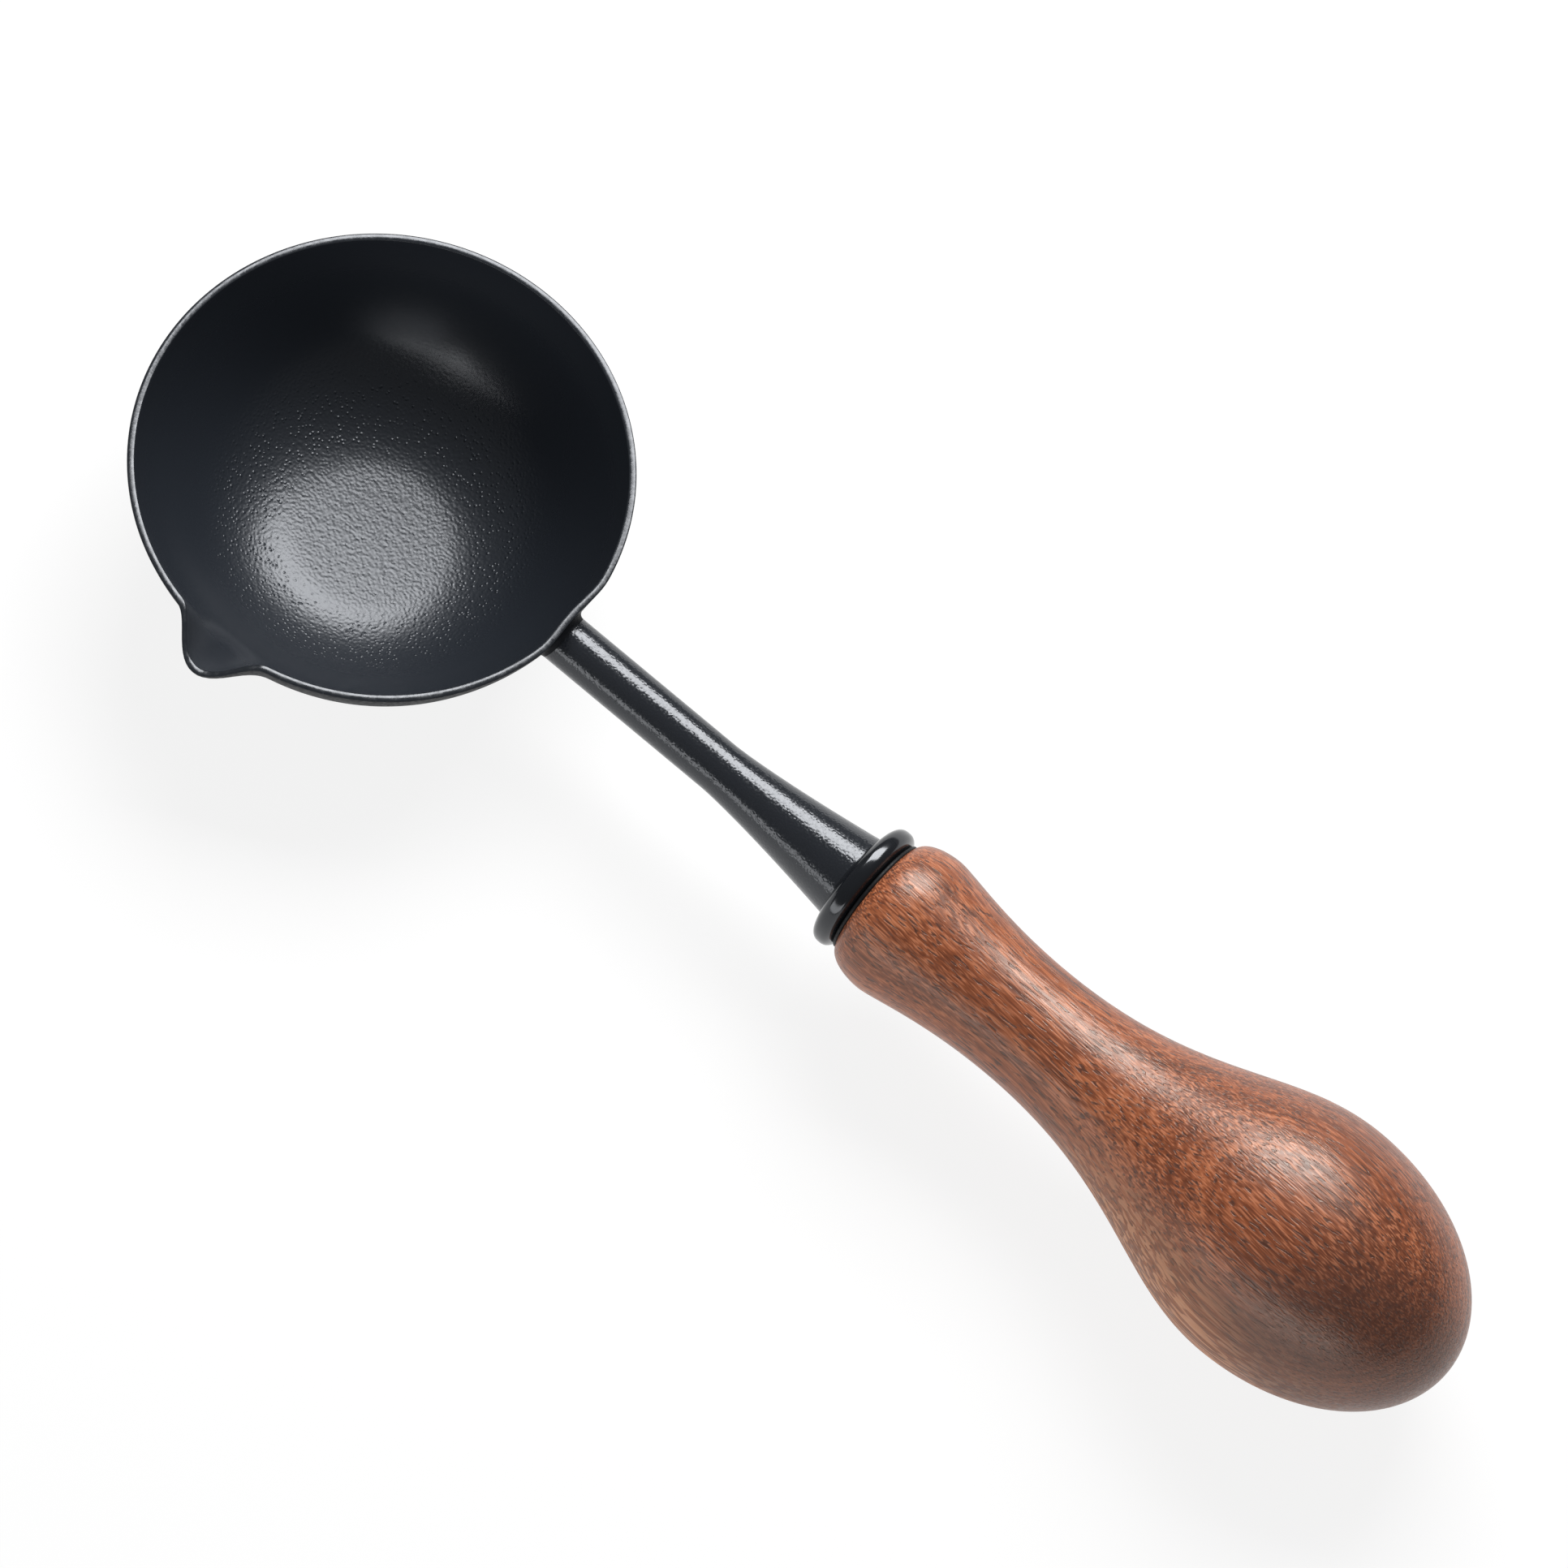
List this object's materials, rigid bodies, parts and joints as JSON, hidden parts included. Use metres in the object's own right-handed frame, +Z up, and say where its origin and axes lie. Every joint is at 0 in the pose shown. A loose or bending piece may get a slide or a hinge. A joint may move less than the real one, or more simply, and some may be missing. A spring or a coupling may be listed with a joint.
{
  "type": "wax sealing spoon",
  "caption": "Small black melting spoon with a round pressed bowl, a side pour spout, a flared neck, a bead collar and a turned wooden handle, for melting and pouring sealing wax.",
  "frame": {"origin": "centre of the bowl's flat foot, on the surface that the spoon lies on", "axes": "+X from the bowl along the handle, +Z up through the open bowl, -Y towards the tip of the pour spout"},
  "size_m": [0.0995, 0.0329, 0.0168],
  "materials": {
    "nonstick_coat": "satin black non-stick coat with a fine orange-peel grain",
    "neck_coat": "satin black coat with a fine grain",
    "gloss_coat": "smooth gloss black coat",
    "bare_steel": "zinc-plated steel",
    "varnished_wood": "reddish brown hardwood, satin varnish"
  },
  "bodies": {
    "root": {"bowl": "nonstick_coat", "braze_fillet": "nonstick_coat", "neck": "neck_coat", "collar": "gloss_coat", "seat_washer": "gloss_coat", "stud": "bare_steel", "handle": "varnished_wood"}
  },
  "joints": []
}
